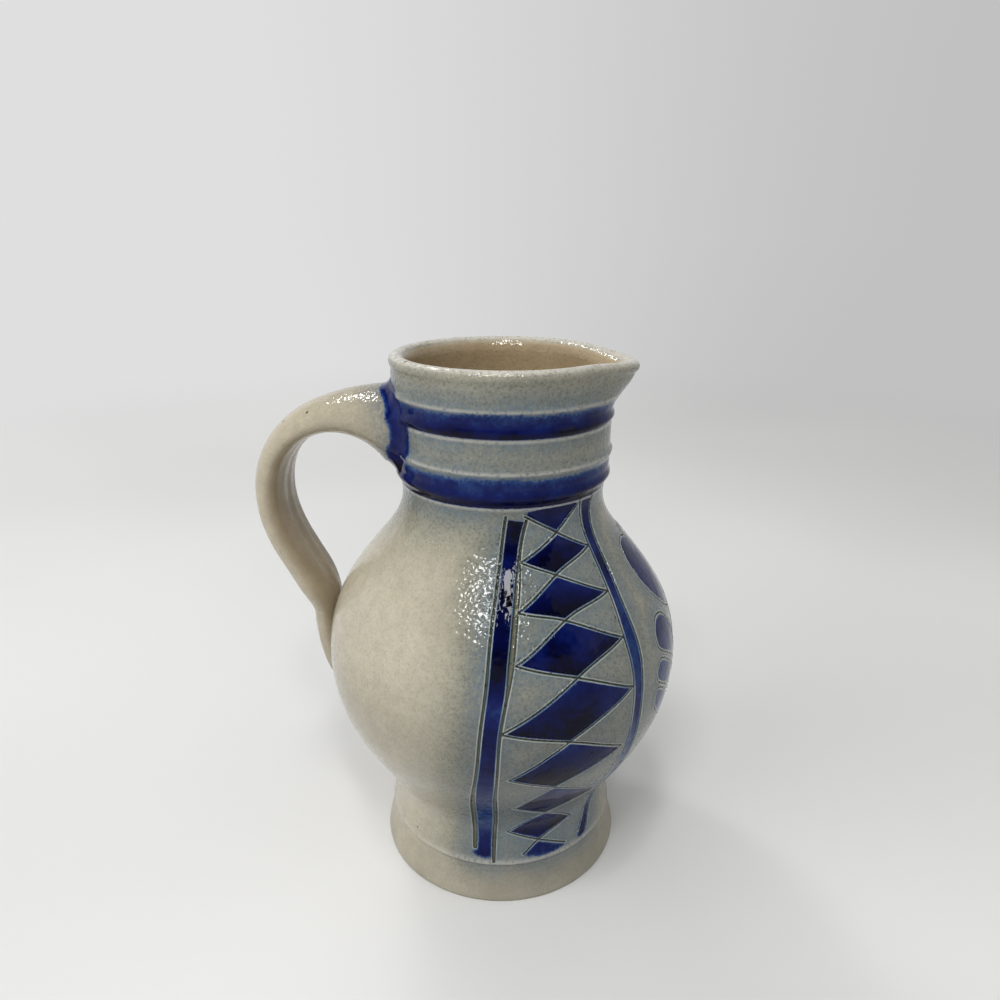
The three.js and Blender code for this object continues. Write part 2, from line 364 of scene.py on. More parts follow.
def draw_spout(points):
    """The lip is pinched between two fingers and drawn out at the front, and stays thick."""
    rise = smoothstep(points[:, 2], RIM_HEIGHT - SPOUT_LENGTH, RIM_HEIGHT)
    turn = np.hypot(azimuth_of(points), SPOUT_BLUNT) - SPOUT_BLUNT
    side = np.clip(1 - turn / SPOUT_HALF_ANGLE, 0, 1)
    pull = side ** SPOUT_PINCH * rise
    press = SPOUT_PRESS * hump(side) * rise
    inner = 1 - smoothstep(from_axis(points), LIP_RADIUS - LIP_THICKNESS, LIP_RADIUS - LIP_ROLL)
    faded = rib_proud(points[:, 2]) * np.clip(rise / RIB_FADE, 0, 1) * side * (1 - inner)
    drawn = push_out(points, (SPOUT_REACH - SPOUT_SWELL * inner) * pull - press - faded)
    drawn[:, 2] -= SPOUT_DIP * pull
    return drawn


def unevenness(points, size, seed):
    """Slow unevenness from -1 to 1, as hands leave it, with bumps of the given size."""
    shift = Vector((seed * 17.0, seed * 5.0, seed * 11.0))
    return np.array([noise.noise(Vector(point) / size + shift) for point in points])


# The ornament. Its points are azimuth and height on one side, and each is mirrored to the other.

STRIPE_BACK = [
    (83.3, 129), (86.1, 117.7), (88.3, 102.4), (90.8, 74), (92.4, 61), (94.6, 46),
    (97, 31), (97.3, 18.5),
]
STRIPE_FRONT = [
    (72.6, 128), (77.4, 117.6), (81.5, 98), (84.5, 80.4), (86.1, 63.5), (86.7, 47),
    (87.6, 27), (88.1, 13.9),
]
BORDER_BACK = [
    (40.2, 131.4), (39, 118.1), (40.6, 106.8), (42.5, 95.5), (42.4, 81.8), (43.4, 64),
    (43, 43), (38, 30), (38.2, 23), (42, 17.4),
]
BORDER_FRONT = [
    (30, 131), (32.8, 115.5), (36.3, 103.4), (37.2, 90.2), (38, 81.6), (38.9, 63),
    (36.8, 42), (31.5, 29), (32.6, 22), (35.6, 16.4),
]
CHAIN_BACK = [
    (73.6, 129.2), (76.8, 117.1), (79.3, 106.1), (80.8, 94.3), (85, 75.8), (82.9, 58.8),
    (80.4, 41.6), (81.6, 25.2), (73.8, 16.2),
]
CHAIN_CROSS = [
    (56.5, 123.3), (61.8, 113.2), (62.8, 103.2), (62.5, 89.4), (65.2, 71.2), (67.6, 53),
    (65.6, 34.5), (65.7, 20.4),
]
CHAIN_FRONT = [
    (40.2, 131.2), (39.2, 118), (40.7, 106.9), (42.9, 95.8), (42.8, 81.7), (45.4, 62.4),
    (44.8, 42), (47.5, 25.6), (50.8, 15.8),
]
FIRST_FIELD_TOP = [(40.2, 130.9), (72.8, 130.9)]
STRIPE_END = [(98.6, 18.2), (99.6, 16.6), (97.5, 14.9), (93, 14.2), (89, 14.6)]
LAST_DIAMOND_END = [(50.8, 14.5), (58, 13.9), (66, 13.8), (72.5, 14.8)]
BORDER_END = [(44, 14.4), (40, 13.8), (36, 14.6)]
BUD = [
    (0, 112.8), (7, 114.2), (14.2, 113.4), (18.8, 109.6), (19.2, 104.4), (15.4, 98.6),
    (8.4, 93), (0, 88.8),
]
LOBES = [
    [
        (4, 71.5), (6.6, 80.5), (11, 88.6), (16.4, 93.6), (22.6, 94.2), (26.4, 91.4),
        (26.9, 87.6), (24.3, 84.6), (15, 79.4), (8, 74.4),
    ],
    [
        (3.8, 63.6), (8.6, 70.8), (16, 77.2), (24.6, 82.6), (28.6, 81.5), (29.6, 78.8),
        (27.8, 76), (19.5, 71), (10.5, 65.8),
    ],
    [
        (3.6, 55.6), (9.6, 62.4), (19, 68.6), (27.6, 74.2), (30.4, 72.4), (30, 68.8),
        (26.4, 64.4), (18, 59.2), (10, 56.4),
    ],
]
STALK = [(0, 87.4), (1.5, 81), (1.2, 68), (1.4, 54), (2.6, 44), (2, 34), (0, 26.5)]

# How thickly the cobalt lies at each height of the stripe and the border: 0 thin, 1 nearly black
STRIPE_DEPTHS = [
    (13, 0.85), (20, 0.55), (34, 0.12), (48, 0.5), (66, 0.7), (84, 0.6), (96, 0.95), (130, 0.9),
]
BORDER_DEPTHS = [
    (14, 0.9), (30, 0.3), (55, 0.36), (72, 0.5), (90, 0.34), (104, 0.5), (112, 0.9),
    (118, 0.7), (131, 0.55),
]
FIRST_FIELD_DEPTH = 0.75
DIAMOND_DEPTHS = (1.05, 0.78, 0.5)  # at its lower tip, its middle and its upper tip
LAST_DIAMOND_DEPTH = 0.7
BUD_DEPTH = 0.62
LOBE_DEPTH = 0.5

# Half the widths of the stripe's back and front lines at each height, and of the border's lines
STRIPE_HALVES = [
    [(14, 0.5), (22, 0.72), (44, 0.72), (56, 0.42), (130, 0.38)],
    [(14, 0.5), (22, 0.62), (44, 0.6), (56, 0.36), (86, 0.42), (94, 0.85), (112, 0.8), (119, 0.4)],
]
BORDER_HALVES = (THIN_LINE, 0.32)


def smooth_spans(points, closed=False):
    """A smooth curve through azimuth and height points, as one finely stepped run per gap."""
    points = np.array(points, float)
    before = points[-1] if closed else 2 * points[0] - points[1]
    after = [points[0], points[1]] if closed else [2 * points[-1] - points[-2]]
    chain = [before, *points, *after]
    spans = []
    for a, b, c, d in zip(chain, chain[1:], chain[2:], chain[3:]):
        ends = on_wall(np.array([b[0], c[0]]), np.array([b[1], c[1]]))
        steps = max(2, int(np.linalg.norm(ends[1] - ends[0]) / LINE_STEP))
        t = np.linspace(0, 1, steps + 1)[:, None]
        bend = (2 * a - 5 * b + 4 * c - d) * t ** 2 + (3 * b - a - 3 * c + d) * t ** 3
        spans.append(b + 0.5 * ((c - a) * t + bend))
    return spans


def smooth_curve(points, closed=False):
    spans = smooth_spans(points, closed)
    return np.vstack([*(span[:-1] for span in spans[:-1]), spans[-1]])


def value_at(height, given):
    """A value at each height, from one number or from pairs of height and value."""
    return np.interp(height, *zip(*given)) if isinstance(given, list) else np.full_like(height, given)


class Ornament:
    """Collects the incised lines and the painted fields of both sides."""

    def __init__(self):
        self.lines = []
        self.fields = []

    def line(self, curve, half_width):
        self.lines += [(curve * (side, 1), half_width) for side in (1, -1)]

    def field(self, outline, margin, depth):
        """A painted field inside an outline, kept a margin away from it."""
        self.fields += [(outline * (side, 1), margin, depth) for side in (1, -1)]


def draw_strip(drawn, back, end, front, halves, margin, depths):
    """Two long lines down the belly, with one painted field between them."""
    back, front = smooth_curve(back), smooth_curve(front)
    drawn.line(back, halves[0])
    drawn.line(front, halves[1])
    drawn.field(np.vstack([back, end, front[::-1]]), margin, depths)


def draw_diamond_chain(drawn):
    """Lines cross between the stripe and the border, and every other field is painted."""
    back, cross, front = CHAIN_BACK, CHAIN_CROSS, CHAIN_FRONT
    count = len(cross)
    rising = [smooth_spans([back[k + 1], cross[k], front[k]]) for k in range(count)]
    falling = [smooth_spans([back[k], cross[k], front[k + 1]]) for k in range(count)]
    for spans in rising + falling:
        drawn.line(np.vstack(spans), THIN_LINE)
    first = np.vstack([falling[0][0], rising[0][1][:-4], FIRST_FIELD_TOP])
    drawn.field(first, FIELD_MARGIN, FIRST_FIELD_DEPTH)
    for k in range(1, count):
        upper = [rising[k - 1][0], falling[k - 1][1]]
        lower = [rising[k][1][::-1], falling[k][0][::-1]]
        diamond = np.vstack(upper + lower)
        heights = np.linspace(diamond[:, 1].min(), diamond[:, 1].max(), 3)
        drawn.field(diamond, FIELD_MARGIN, list(zip(heights, DIAMOND_DEPTHS)))
    last = np.vstack([rising[-1][0], falling[-1][1], LAST_DIAMOND_END])
    drawn.field(last, FIELD_MARGIN, LAST_DIAMOND_DEPTH)


def draw_plant(drawn):
    """A bud on a stalk between two leaves of three lobes each, under the spout."""
    for outline in (BUD, STALK):
        half = smooth_curve(outline)
        whole = np.vstack([half, (half * (-1, 1))[::-1]])
        drawn.lines.append((whole, PLANT_LINE))
        drawn.fields.append((whole, PLANT_MARGIN, BUD_DEPTH))
    for lobe in LOBES:
        outline = smooth_curve(lobe, closed=True)
        drawn.line(outline, PLANT_LINE)
        drawn.field(outline, PLANT_MARGIN, LOBE_DEPTH)


def tree_of(points):
    tree = KDTree(len(points))
    for index, point in enumerate(points):
        tree.insert(point, index)
    tree.balance()
    return tree


def nearest_in(tree, points):
    """For each point, which of the tree's points lies nearest, and how far away it is."""
    found = [tree.find(point) for point in points]
    return np.array([index for _, index, _ in found]), np.array([gap for _, _, gap in found])


class IncisedLines:
    """Finds how far points on the wall lie from the nearest incised line."""

    def __init__(self, lines):
        self.points, self.tangents, self.halves = [], [], []
        for curve, half_width in lines:
            shake = np.column_stack([np.sin(curve[:, 1] * 0.23), np.sin(curve[:, 0] * 0.19)])
            wavy = curve + LINE_SHAKE * shake
            placed = on_wall(wavy[:, 0], wavy[:, 1])
            self.points.append(placed)
            self.tangents.append(unit(np.gradient(placed, axis=0)))
            self.halves.append(value_at(curve[:, 1], half_width))
        self.points = np.vstack(self.points)
        self.tangents = np.vstack(self.tangents)
        self.halves = np.concatenate(self.halves)
        self.tree = tree_of(self.points)

    def measure(self, points):
        """For each point its line's half width, and the offset from the line to the point."""
        nearest, _ = nearest_in(self.tree, points)
        offset = points - self.points[nearest]
        along = dot(offset, self.tangents[nearest])
        inner = np.abs(along) < LINE_STEP * 1.2
        offset = np.where(inner, offset - along * self.tangents[nearest], offset)
        return self.halves[nearest], offset


def inside_outline(azimuth, height, outline):
    inside = np.zeros(len(azimuth), bool)
    for (a0, h0), (a1, h1) in zip(outline, np.roll(outline, -1, axis=0)):
        crosses = (h0 > height) != (h1 > height)
        if crosses.any():
            inside ^= crosses & (azimuth < (a1 - a0) * (height - h0) / (h1 - h0 + 1e-12) + a0)
    return inside


def filled_edge(outline):
    """An outline on the wall, with its long straight gaps stepped finely too."""
    edge = on_wall(outline[:, 0], outline[:, 1])
    after = np.roll(edge, -1, axis=0)
    gaps = np.linalg.norm(after - edge, axis=1)
    filled = [edge]
    for index in np.flatnonzero(gaps > 2 * LINE_STEP):
        share = np.linspace(0, 1, int(gaps[index] / LINE_STEP) + 1)[:, None]
        filled.append(lerp(edge[index], after[index], share))
    return np.vstack(filled)


def painted_fields(points, fields):
    """Signed distance into the nearest painted field, and how thickly the cobalt lies there."""
    azimuth, height = azimuth_of(points), points[:, 2]
    signed = np.full(len(points), NO_COBALT)
    depth = np.full(len(points), 0.5)
    for outline, margin, thickness in fields:
        edge = filled_edge(outline)
        low, high = edge.min(axis=0) - COBALT_REACH, edge.max(axis=0) + COBALT_REACH
        near = np.flatnonzero(((points > low) & (points < high)).all(axis=1))
        _, distance = nearest_in(tree_of(edge), points[near])
        inside = inside_outline(azimuth[near], height[near], outline)
        value = np.where(inside, distance, -distance) - margin
        better = value > signed[near]
        signed[near[better]] = value[better]
        depth[near[better]] = value_at(height[near[better]], thickness)
    return signed, depth


def painted_bands(points):
    """The two brushed bands round the neck, thickest and crispest at their lower edges."""
    azimuth, height = np.arctan2(points[:, 1], points[:, 0]), points[:, 2]
    signed = np.full(len(points), NO_COBALT)
    depth = np.full(len(points), 0.5)
    soft = np.full(len(points), 1.0)
    brush = 0.28 * np.sin(3 * azimuth) + 0.16 * np.sin(7 * azimuth) + 0.1 * np.sin(17 * azimuth)
    for low, high in BANDS:
        low, high = NECK_BASE_HEIGHT + low, NECK_BASE_HEIGHT + high
        value = np.minimum(height - low, high + brush - height)
        better = value > signed
        signed[better] = value[better]
        share = (high - height) / (high - low)
        depth[better] = (0.5 + 0.42 * smoothstep(share, 0.35, 0.95))[better]
        soft[better] = (0.15 + 0.85 * smoothstep(share, 0.75, 0.35))[better]
    return signed, depth, soft


def thin_glaze_and_highlight_share(points):
    """1 on the rim and on the crests of the neck's ribs, where the glaze lies thin and pale with a
    painted highlight on it, and half on a painted highlight line along the foot's ring.
    """
    height = points[:, 2]
    share = smoothstep(height, RIM_HEIGHT - 1.5, RIM_HEIGHT - 0.3)
    for above, half in PALE_AND_HIGHLIGHT_LINES:
        offset = np.abs(height - NECK_BASE_HEIGHT - above)
        share = np.maximum(share, 0.6 - 0.6 * smoothstep(offset, half * 0.3, half * 1.6))
    # Painted highlight: a pale line along the foot's ring.
    share = np.maximum(share, 0.5 - 0.5 * smoothstep(np.abs(height - FOOT_BAND_HEIGHT), 0.3, 1.2))
    return share


# The strap handle


def strap_line():
    """Middle line of the strap, out of the neck, over, down and along the belly, in even steps."""
    root_radius = wall_radius(ROOT_HEIGHT)
    root_depth = root_radius - math.sqrt(root_radius ** 2 - (ROOT_WIDTH / 2) ** 2) + NECK_WALL
    tail_stand = TAIL_PROUD - TAIL_THICKNESS / 2

    def stretch(*corners):
        a, b, c, d = (np.array((-reach, 0.0, height)) for reach, height in corners)
        return cubic(a, b, c, d, np.linspace(0, 1, 200)[:, None])

    lying = BELLY_RADIUS + tail_stand
    pressed = TAIL_END + TAIL_TIP
    over = stretch(
        (root_radius - root_depth, ROOT_HEIGHT - ROOT_DROP),
        (root_radius + ARCH_LEAD, ROOT_HEIGHT + ARCH_RISE),
        (HANDLE_REACH, ROOT_HEIGHT + ARCH_SHOULDER),
        (HANDLE_REACH, GRIP_HEIGHT),
    )
    down = stretch(
        (HANDLE_REACH, GRIP_HEIGHT),
        (HANDLE_REACH, GRIP_HEIGHT - GRIP_BOW),
        (lying, TAIL_TOP + TAIL_BEND),
        (lying, TAIL_TOP),
    )
    along = stretch(
        (lying, TAIL_TOP),
        (lying, BELLY_HEIGHT),
        (wall_radius(pressed) + tail_stand, pressed),
        (wall_radius(TAIL_END) - TAIL_SINK, TAIL_END),
    )
    rows = np.vstack([over, down[1:], along[1:]])
    travelled = walked_along(rows)
    even = np.linspace(0, travelled[-1], 1200)
    return even, between(even, travelled, rows), root_depth


TRAVELLED, STRAP_MIDDLES, ROOT_DEPTH = strap_line()
STRAP_LENGTH = TRAVELLED[-1]
OUTWARDS = unit(np.cross((0.0, 1.0, 0.0), unit(np.gradient(STRAP_MIDDLES, axis=0))))


def strap_surface(travelled, angle):
    """Points of the strap at distances along it and angles round it."""
    travelled, angle = np.broadcast_arrays(travelled, angle)
    middle = between(travelled, TRAVELLED, STRAP_MIDDLES)
    outward = between(travelled, TRAVELLED, OUTWARDS)
    left = STRAP_LENGTH - travelled
    flare = np.clip(1 - (travelled - ROOT_DEPTH) / ROOT_FLARE_LENGTH, 0, 1) ** 2
    tail_length = TAIL_TOP - TAIL_END
    taper = 1 - smoothstep(left, tail_length, tail_length + TAPER_LENGTH)
    tip = np.clip(left / TAIL_TIP, 0, 1)
    end = np.sqrt(np.clip(1 - (1 - tip) ** 2, 0, 1))
    width = lerp(STRAP_WIDTH, TAIL_WIDTH, taper) + (ROOT_WIDTH - STRAP_WIDTH) * flare
    thickness = lerp(STRAP_THICKNESS, TAIL_THICKNESS, taper) + (ROOT_TALL - STRAP_THICKNESS) * flare
    inner = lerp(STRAP_INNER_SHARE, ROOT_INNER_SHARE, flare)
    aside, through = np.cos(angle), np.sin(angle)
    grip = (1 - flare) ** 2 * (1 - taper)
    bulge = 1 - aside ** 2
    hollow = HAND_HOLLOW * bulge ** 1.5 * grip
    hand_side = lerp(0.25, 1.0, smoothstep(through, 0.2, -0.3))
    marks = PULL_MARK_DEPTH * hand_side * grip * bulge * np.cos(PULL_MARK_TURNS * aside + 0.6)
    depth = through * end * thickness / 2
    depth = np.where(through < 0, depth * inner + hollow, depth) + marks
    across = aside * end * width / 2
    return middle + outward * depth[..., None] + np.array((0.0, 1.0, 0.0)) * across[..., None]


def root_travel(level):
    """How far along the strap each of its sides reaches a distance from the neck's wall."""
    travelled = np.linspace(0, ROOT_DEPTH + 14, 300)
    angles = np.linspace(0, 2 * math.pi, HANDLE_SIDES, endpoint=False)
    distances = wall_distance(strap_surface(travelled[:, None], angles[None, :]))
    index = np.maximum(np.argmax(distances > level, axis=0), 1)
    side = np.arange(HANDLE_SIDES)
    low, high = distances[index - 1, side], distances[index, side]
    share = np.clip((level - low) / np.maximum(high - low, 1e-6), 0, 1)
    return lerp(travelled[index - 1], travelled[index], share), angles


def root_crease():
    """The closed line where the strap's root meets the neck."""
    travelled, angles = root_travel(0.0)
    return strap_surface(travelled, angles)


def tail_crease():
    """The closed line where the tail meets the belly, in even steps round it."""
    travelled = np.linspace(STRAP_LENGTH * 0.6, STRAP_LENGTH - 0.02, 500)
    angles = np.radians(np.linspace(-90, 90, 361))
    points = strap_surface(travelled[:, None], angles[None, :])
    outside = wall_distance(points) > 0
    flips_along = np.argwhere(outside[1:] != outside[:-1])
    flips_round = np.argwhere(outside[:, 1:] != outside[:, :-1])
    rows = [(travelled[i], *points[i, j]) for i, j in np.vstack([flips_along, flips_round])]
    rows = np.array(sorted(rows))[:, 1:]
    bins = np.linspace(0, len(rows), 60).astype(int)
    half = np.array([rows[a:b].mean(axis=0) for a, b in zip(bins, bins[1:]) if b > a])
    half[0, 1] = half[-1, 1] = 0
    loop = np.vstack([half, (half * (1, -1, 1))[-2:0:-1]])
    return settle_on_wall(evenly(np.vstack([loop, loop[:1]]), 160)[:-1])


# Meshes


def mesh_object(name, bm, node, glazing, fields):
    """Turns a finished bmesh in millimetres into a glazed piece that stands for a node."""
    bmesh.ops.recalc_face_normals(bm, faces=bm.faces)
    bmesh.ops.triangulate(bm, faces=[face for face in bm.faces if len(face.verts) > 4])
    bmesh.ops.scale(bm, vec=(MM, MM, MM), verts=bm.verts)
    mesh = bpy.data.meshes.new(name)
    bm.to_mesh(mesh)
    bm.free()
    mesh.shade_smooth()
    for field, values in fields.items():
        attribute = mesh.attributes.new(field, "FLOAT", "POINT")
        attribute.data.foreach_set("value", np.full(len(mesh.vertices), values, np.float32))
    mesh.materials.append(glaze(*glazing))
    piece = bpy.data.objects.new(name, mesh)
    bpy.context.scene.collection.objects.link(piece)
    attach(piece, "root")
    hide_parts(node)


def first_ring(bm, places):
    """A closed ring of edges through the given places."""
    made = bmesh.ops.create_circle(bm, segments=len(places), radius=1.0)["verts"]
    for vertex, place in zip(made, places):
        vertex.co = place
    return list(made)


def ring_edges(bm, ring):
    return [bm.edges.get(pair) for pair in zip(ring, ring[1:] + ring[:1])]


def extrude_ring(bm, ring, places):
    """Extrudes a closed ring of vertices and moves the new one to its places."""
    made = set(bmesh.ops.extrude_edge_only(bm, edges=ring_edges(bm, ring))["geom"])
    fresh = []
    for vertex, place in zip(ring, places):
        others = (edge.other_vert(vertex) for edge in vertex.link_edges)
        new = next(other for other in others if other in made)
        new.co = place
        fresh.append(new)
    return fresh


def sweep_rings(bm, rows):
    """Joins rows of places into a tube, and gives back its first and its last ring."""
    ring = start = first_ring(bm, rows[0])
    for row in rows[1:]:
        ring = extrude_ring(bm, ring, row)
    return start, ring


def coordinates(vertices):
    return np.array([vertex.co for vertex in vertices])


def move_to(vertices, places):
    for vertex, place in zip(vertices, places):
        vertex.co = place


def build_handle():
    bm = bmesh.new()
    start, angles = root_travel(-HIDDEN_DEPTH)
    steady = ROOT_DEPTH + ROOT_FINE_LENGTH
    near_wall = [lerp(start, steady, share) for share in np.linspace(0, 1, 46)]
    onward = np.linspace(steady, STRAP_LENGTH - TAIL_TIP, 150)[1:]
    tip = STRAP_LENGTH - TAIL_TIP * (1 - np.sin(np.linspace(0, math.pi / 2, 24))[1:-1])
    rings = [*near_wall, *(np.full_like(angles, value) for value in [*onward, *tip])]
    places = [strap_surface(travelled, angles) for travelled in rings]
    root, ring = sweep_rings(bm, places)
    bmesh.ops.pointmerge(bm, verts=ring, merge_co=Vector(STRAP_MIDDLES[-1]))
    middle = places[0].mean(axis=0)
    for share in (0.8, 0.6, 0.4, 0.2):
        inner = lerp(middle, places[0], share)
        root = extrude_ring(bm, root, settle_on_wall(inner, HIDDEN_DEPTH))
    hidden_middle = settle_on_wall(middle[None], HIDDEN_DEPTH)[0]
    bmesh.ops.pointmerge(bm, verts=root, merge_co=Vector(hidden_middle))
    bmesh.ops.recalc_face_normals(bm, faces=bm.faces)
    points = coordinates(bm.verts)
    away = smoothstep(wall_distance(points), 0, 6)
    bm.normal_update()
    normals = np.array([vertex.normal for vertex in bm.verts])
    uneven = HANDLE_UNEVENNESS * unevenness(points, 18.0, 1)
    move_to(bm.verts, points + normals * (uneven * away)[:, None])
    return bm


def eased(loop):
    """A closed loop of points with its small kinks smoothed out."""
    for _ in range(8):
        loop = (np.roll(loop, 1, axis=0) + 2 * loop + np.roll(loop, -1, axis=0)) / 4
    return loop


def build_lute(crease, spread, handle_tree):
    """A bead of soft clay that fillets the handle into the wall, closed on its hidden side."""
    bm = bmesh.new()
    # Normals are read between the crease's points, because the points lie on edges of the strap
    halfway = (crease + np.roll(crease, -1, axis=0)) / 2
    read = np.array([handle_tree.find_nearest(point)[1] for point in halfway])
    strap_normal = unit(read + np.roll(read, 1, axis=0))
    for _ in range(14):
        neighbours = np.roll(strap_normal, 1, axis=0) + np.roll(strap_normal, -1, axis=0)
        strap_normal = unit(strap_normal + neighbours)
    wall_normal = wall_normals(crease)
    along_wall = unit(strap_normal - dot(strap_normal, wall_normal) * wall_normal)
    up_strap = unit(wall_normal - dot(wall_normal, strap_normal) * strap_normal)
    swell = spread * (1 + 0.06 * unevenness(crease, 12.0, 3))[:, None]
    foot = settle_on_wall(eased(crease + along_wall * swell), LUTE_OVERLAP)
    reached = [handle_tree.find_nearest(point)[0] for point in eased(crease + up_strap * swell)]
    high = np.array(reached) - strap_normal * LUTE_OVERLAP
    control = crease + LUTE_FULLNESS * (along_wall + up_strap) * swell
    rows = []
    for t in np.linspace(0, 1, 9):
        rows.append((1 - t) ** 2 * foot + 2 * (1 - t) * t * control + t * t * high)
    in_wall, in_strap = LUTE_DEPTH_IN_WALL * wall_normal, LUTE_DEPTH_IN_STRAP * strap_normal
    rows += [high - in_strap, crease - in_wall - in_strap, foot - in_wall]
    start, ring = sweep_rings(bm, rows)
    bmesh.ops.bridge_loops(bm, edges=ring_edges(bm, start) + ring_edges(bm, ring))
    return bm


def body_profile():
    base_radii = np.linspace(0, FOOT_RADIUS - FOOT_EDGE, 6)[:-1]
    base = np.column_stack([base_radii, np.zeros(5)])
    return np.vstack([base, OUTSIDE, inside_points()])


def outer_vertices(bm):
    """Vertices of the belly's outside, where the ornament lies."""
    low, high = FOOT_BAND_HEIGHT - 1, NECK_BASE_HEIGHT + 4.5
    rows = [vertex for vertex in bm.verts if low < vertex.co.z < high]
    points = coordinates(rows)
    kept = np.flatnonzero(wall_distance(points) > -1)
    return [rows[index] for index in kept], points[kept]


def build_body(lines):
    bm = bmesh.new()
    verts = [bm.verts.new((radius, 0, height)) for radius, height in body_profile()]
    edges = [bm.edges.new(pair) for pair in zip(verts, verts[1:])]
    bmesh.ops.spin(
        bm, geom=verts + edges, cent=(0, 0, 0), axis=(0, 0, 1), angle=2 * math.pi,
        steps=ROUND_STEPS, use_merge=True,
    )
    bmesh.ops.remove_doubles(bm, verts=bm.verts, dist=0.01)
    for reach in FINE_REACH:
        outer, points = outer_vertices(bm)
        _, gaps = nearest_in(lines.tree, points)
        near = (outer[row] for row in np.flatnonzero(gaps < reach))
        faces = {face for vertex in near for face in vertex.link_faces}
        edges = [edge for edge in bm.edges if faces.intersection(edge.link_faces)]
        bmesh.ops.subdivide_edges(bm, edges=edges, cuts=1, use_grid_fill=True)
    return bm


def groove_lift(points, half, distance):
    """How far the wall is pushed in or raised at a distance from the middle of a line."""
    crest = half + BURR_OFFSET
    rough = BURR_HEIGHT * (1 + BURR_ROUGHNESS * unevenness(points, 0.9, 4))
    floor = smoothstep(distance, half * 0.45, crest)
    rise = 1 - smoothstep(distance, crest, crest + BURR_FOOT)
    return np.where(distance < crest, lerp(-GROOVE_DEPTH, rough, floor), rough * rise)


def snap_to_lines(points, lines):
    """Moves points that lie close to the middle, crest or foot of an incised line onto it."""
    half, offset = lines.measure(points)
    distance = np.linalg.norm(offset, axis=1)
    away = unit(offset)
    radius = from_axis(points)
    round_step = 2 * math.pi * radius / ROUND_STEPS / 2 ** len(FINE_REACH)
    aside = np.abs(away[:, 1] * points[:, 0] - away[:, 0] * points[:, 1]) / radius
    upright = np.sqrt(np.clip(1 - aside ** 2, 0, 1))
    reach = 0.52 * np.maximum(aside * round_step, upright * ROW_STEP / 2 ** len(FINE_REACH))
    crest = half + BURR_OFFSET
    gaps = np.stack([np.zeros(len(points)), crest, crest + BURR_FOOT]) - distance
    gap = gaps[np.argmin(np.abs(gaps), axis=0), np.arange(len(points))]
    shift = np.where(np.abs(gap) < np.maximum(reach, BURR_FOOT * 0.53), gap, 0)
    points = settle_on_wall(points + away * shift[:, None])
    return points, half, distance + shift


def incise(bm, lines):
    """Pushes the incised grooves into the belly and raises a burr along each edge."""
    outer, points = outer_vertices(bm)
    points, half, distance = snap_to_lines(settle_on_wall(points), lines)
    lift = groove_lift(points, half, distance)
    follow_lines(bm, outer, points, distance, lift, lines)
    move_to(outer, points + wall_normals(points) * lift[:, None])
    return outer, distance - half


def follow_lines(bm, outer, points, distance, lift, lines):
    """Splits the four-sided faces near a line along the diagonal that follows it best."""
    row_of = {vertex: row for row, vertex in enumerate(outer)}
    faces, rows = [], []
    for face in bm.faces:
        corners = [row_of.get(vertex, -1) for vertex in face.verts]
        if len(corners) == 4 and min(corners) >= 0 and distance[corners].min() < 1.3:
            faces.append(face)
            rows.append(corners)
    rows = np.array(rows)
    misfits = []
    for first, second in ((0, 2), (1, 3)):
        ends = rows[:, first], rows[:, second]
        middle = settle_on_wall((points[ends[0]] + points[ends[1]]) / 2)
        half, offset = lines.measure(middle)
        wanted = groove_lift(middle, half, np.linalg.norm(offset, axis=1))
        misfits.append(np.abs(wanted - (lift[ends[0]] + lift[ends[1]]) / 2))
    for face, first in zip(faces, np.where(misfits[0] <= misfits[1], 0, 1)):
        bmesh.utils.face_split(face, face.verts[first], face.verts[first + 2])


def inside_share(points):
    """1 inside the pitcher, 0 outside it, easing over the top of the rim."""
    radius, height = from_axis(points), points[:, 2]
    lip_inside = LIP_RADIUS - LIP_THICKNESS
    rim = 1 - smoothstep(radius, lip_inside + 0.3, lip_inside + 1.8)
    deep = (radius < wall_radius(height) - 2) & (height > 1)
    return np.where(height > COLLAR_TOP, rim, deep)


def finish_body(bm, lines, ornament, crease):
    """Incises the belly, works out its colours and draws out the spout."""
    bm.verts.index_update()
    outer, edge_distance = incise(bm, lines)
    line_field = np.full(len(bm.verts), FAR_FROM_LINES)
    line_field[[vertex.index for vertex in outer]] = edge_distance
    points = coordinates(bm.verts)
    inside = inside_share(points)
    _, root_gap = nearest_in(tree_of(crease), points)
    root = ROOT_BLUE_ON_WALL + 0.5 * unevenness(points, 7.0, 5) - root_gap
    layers = [
        (*painted_fields(points, ornament.fields), 0.55 * smoothstep(points[:, 2], 36, 16)),
        painted_bands(points),
        (root, root_depth_of_cobalt(points), np.full(len(points), 0.6)),
    ]
    signed, depth, soft = (np.stack(column) for column in zip(*layers))
    best, column = np.argmax(signed, axis=0), np.arange(len(points))
    hand_made = BODY_UNEVENNESS * unevenness(points, 30.0, 6) * smoothstep(points[:, 2], 2, 20)
    move_to(bm.verts, draw_spout(push_out(points, hand_made)))
    return {
        "cobalt": np.where(inside > 0.5, NO_COBALT, signed[best, column]),
        "depth": depth[best, column],
        "soft": soft[best, column],
        "line": line_field,
        "inside": inside,
        "pale": thin_glaze_and_highlight_share(points) * (1 - inside),
        "brown_and_shade": 0.0,
    }


def hand_side(points):
    """0.3 over the strap, for the handle's browner clay, rising to 1 along the grip on the side that
    faces the body, where the darker brown is painted shade.
    """
    nearest, _ = nearest_in(tree_of(STRAP_MIDDLES), points)
    outward = dot(points - STRAP_MIDDLES[nearest], OUTWARDS[nearest])[:, 0]
    share = nearest / len(STRAP_MIDDLES)
    grip = smoothstep(share, 0.1, 0.4) * smoothstep(share, 0.86, 0.78)
    return lerp(0.3, 1.0, smoothstep(outward, 1.5, -3.0) * grip)


